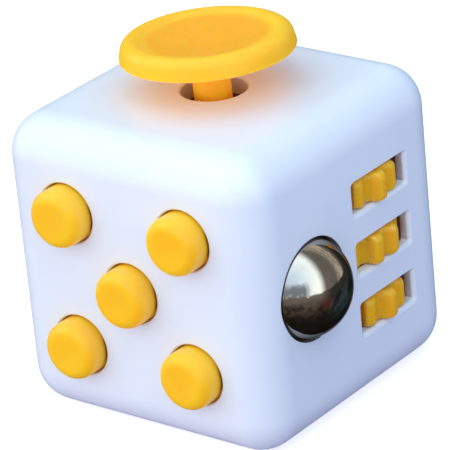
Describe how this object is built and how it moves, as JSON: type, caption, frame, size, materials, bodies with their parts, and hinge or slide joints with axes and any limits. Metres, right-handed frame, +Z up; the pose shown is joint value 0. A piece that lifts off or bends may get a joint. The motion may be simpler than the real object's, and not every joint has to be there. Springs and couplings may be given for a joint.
{
  "type": "fidget cube",
  "caption": "Desk fidget cube with push buttons, thumb joystick, pressing steel ball, finger gears, flip switch, spinning dial and a worry dish, one kind per face.",
  "frame": {"origin": "centre of the underside, on the face the cube rests on", "axes": "+Z up through the joystick; -Y out of the button face (front); +X out of the ball and gear face (right); +Y out of the flip switch face; -X out of the dial face"},
  "size_m": [0.0395, 0.0379, 0.0394],
  "materials": {
    "white_plastic": "satin moulded ABS",
    "yellow_plastic": "satin moulded ABS",
    "grey_plastic": "moulded, inside only",
    "polished_steel": "polished bearing ball",
    "spring_steel": "thin spring stock",
    "pin_steel": "ground pin",
    "screw_steel": "zinc plated",
    "silicone": "soft silicone"
  },
  "bodies": {
    "cube": {"body_shell": "white_plastic", "base_cover": "white_plastic", "button_backplate": "grey_plastic", "backplate_screws": "screw_steel", "dome_center": "spring_steel", "dome_upper_left": "spring_steel", "dome_upper_right": "silicone", "dome_lower_left": "silicone", "dome_lower_right": "spring_steel", "gimbal_outer_pins": "pin_steel", "joystick_seat": "grey_plastic", "joystick_spring": "spring_steel", "seat_screws": "screw_steel", "ball_spring": "spring_steel", "roll_frame": "grey_plastic", "roll_frame_screws": "screw_steel", "gear_axle": "pin_steel", "rocker_pin": "pin_steel", "rocker_frame": "grey_plastic", "rocker_leaf": "spring_steel", "rocker_screws": "screw_steel", "dial_washer": "spring_steel"},
    "button_center": {"button_center": "yellow_plastic"},
    "button_upper_left": {"button_upper_left": "yellow_plastic"},
    "button_upper_right": {"button_upper_right": "yellow_plastic"},
    "button_lower_left": {"button_lower_left": "yellow_plastic"},
    "button_lower_right": {"button_lower_right": "yellow_plastic"},
    "gimbal": {"gimbal_ring": "grey_plastic", "gimbal_inner_pin": "pin_steel"},
    "joystick": {"joystick_cap": "yellow_plastic", "joystick_stem": "yellow_plastic"},
    "ball_carrier": {"ball_cup": "grey_plastic"},
    "ball": {"steel_ball": "polished_steel"},
    "gear_upper": {"gear_upper": "yellow_plastic"},
    "gear_middle": {"gear_middle": "yellow_plastic"},
    "gear_lower": {"gear_lower": "yellow_plastic"},
    "rocker": {"rocker_switch": "yellow_plastic"},
    "dial": {"spin_dial": "yellow_plastic", "dial_axle": "pin_steel", "dial_clip": "spring_steel"}
  },
  "joints": [
    {"name": "press_center", "type": "slide", "parent": "cube", "child": "button_center", "axis": [0, 1, 0], "range_m": [0, 0.0009], "stiffness_N_per_m": 400, "springref_m": -0.001, "deforming": ["dome_center"]},
    {"name": "press_upper_left", "type": "slide", "parent": "cube", "child": "button_upper_left", "axis": [0, 1, 0], "range_m": [0, 0.0009], "stiffness_N_per_m": 400, "springref_m": -0.001, "deforming": ["dome_upper_left"]},
    {"name": "press_upper_right", "type": "slide", "parent": "cube", "child": "button_upper_right", "axis": [0, 1, 0], "range_m": [0, 0.0009], "stiffness_N_per_m": 400, "springref_m": -0.001, "deforming": ["dome_upper_right"]},
    {"name": "press_lower_left", "type": "slide", "parent": "cube", "child": "button_lower_left", "axis": [0, 1, 0], "range_m": [0, 0.0009], "stiffness_N_per_m": 400, "springref_m": -0.001, "deforming": ["dome_lower_left"]},
    {"name": "press_lower_right", "type": "slide", "parent": "cube", "child": "button_lower_right", "axis": [0, 1, 0], "range_m": [0, 0.0009], "stiffness_N_per_m": 400, "springref_m": -0.001, "deforming": ["dome_lower_right"]},
    {"name": "joystick_front_back", "type": "hinge", "parent": "cube", "child": "gimbal", "pos_m": [0, 0, 0.026], "axis": [1, 0, 0], "range_deg": [-6.8, 9.2], "stiffness_Nm_per_rad": 0.02, "deforming": ["joystick_spring"]},
    {"name": "joystick_left_right", "type": "hinge", "parent": "gimbal", "child": "joystick", "pos_m": [0, 0, 0.026], "axis": [0, 0.9998, -0.0209], "range_deg": [-5.4, 10.6], "stiffness_Nm_per_rad": 0.02},
    {"name": "press_ball", "type": "slide", "parent": "cube", "child": "ball_carrier", "axis": [-1, 0, 0], "range_m": [0, 0.0008], "stiffness_N_per_m": 500, "springref_m": -0.001, "deforming": ["ball_spring"]},
    {"name": "roll_ball", "type": "hinge", "parent": "ball_carrier", "child": "ball", "pos_m": [0.0146, -0.0073, 0.01665], "axis": [0, 0, 1], "continuous": true},
    {"name": "spin_gear_upper", "type": "hinge", "parent": "cube", "child": "gear_upper", "pos_m": [0.0121, 0.00495, 0.02325], "axis": [0, 0, 1], "continuous": true},
    {"name": "spin_gear_middle", "type": "hinge", "parent": "cube", "child": "gear_middle", "pos_m": [0.0121, 0.00495, 0.0165], "axis": [0, 0, 1], "continuous": true},
    {"name": "spin_gear_lower", "type": "hinge", "parent": "cube", "child": "gear_lower", "pos_m": [0.0121, 0.00495, 0.00975], "axis": [0, 0, 1], "continuous": true},
    {"name": "flip_switch", "type": "hinge", "parent": "cube", "child": "rocker", "pos_m": [0, 0.0138, 0.0165], "axis": [1, 0, 0], "range_deg": [0, 20]},
    {"name": "spin_dial", "type": "hinge", "parent": "cube", "child": "dial", "pos_m": [-0.0165, 0, 0.0165], "axis": [-1, 0, 0], "continuous": true}
  ]
}
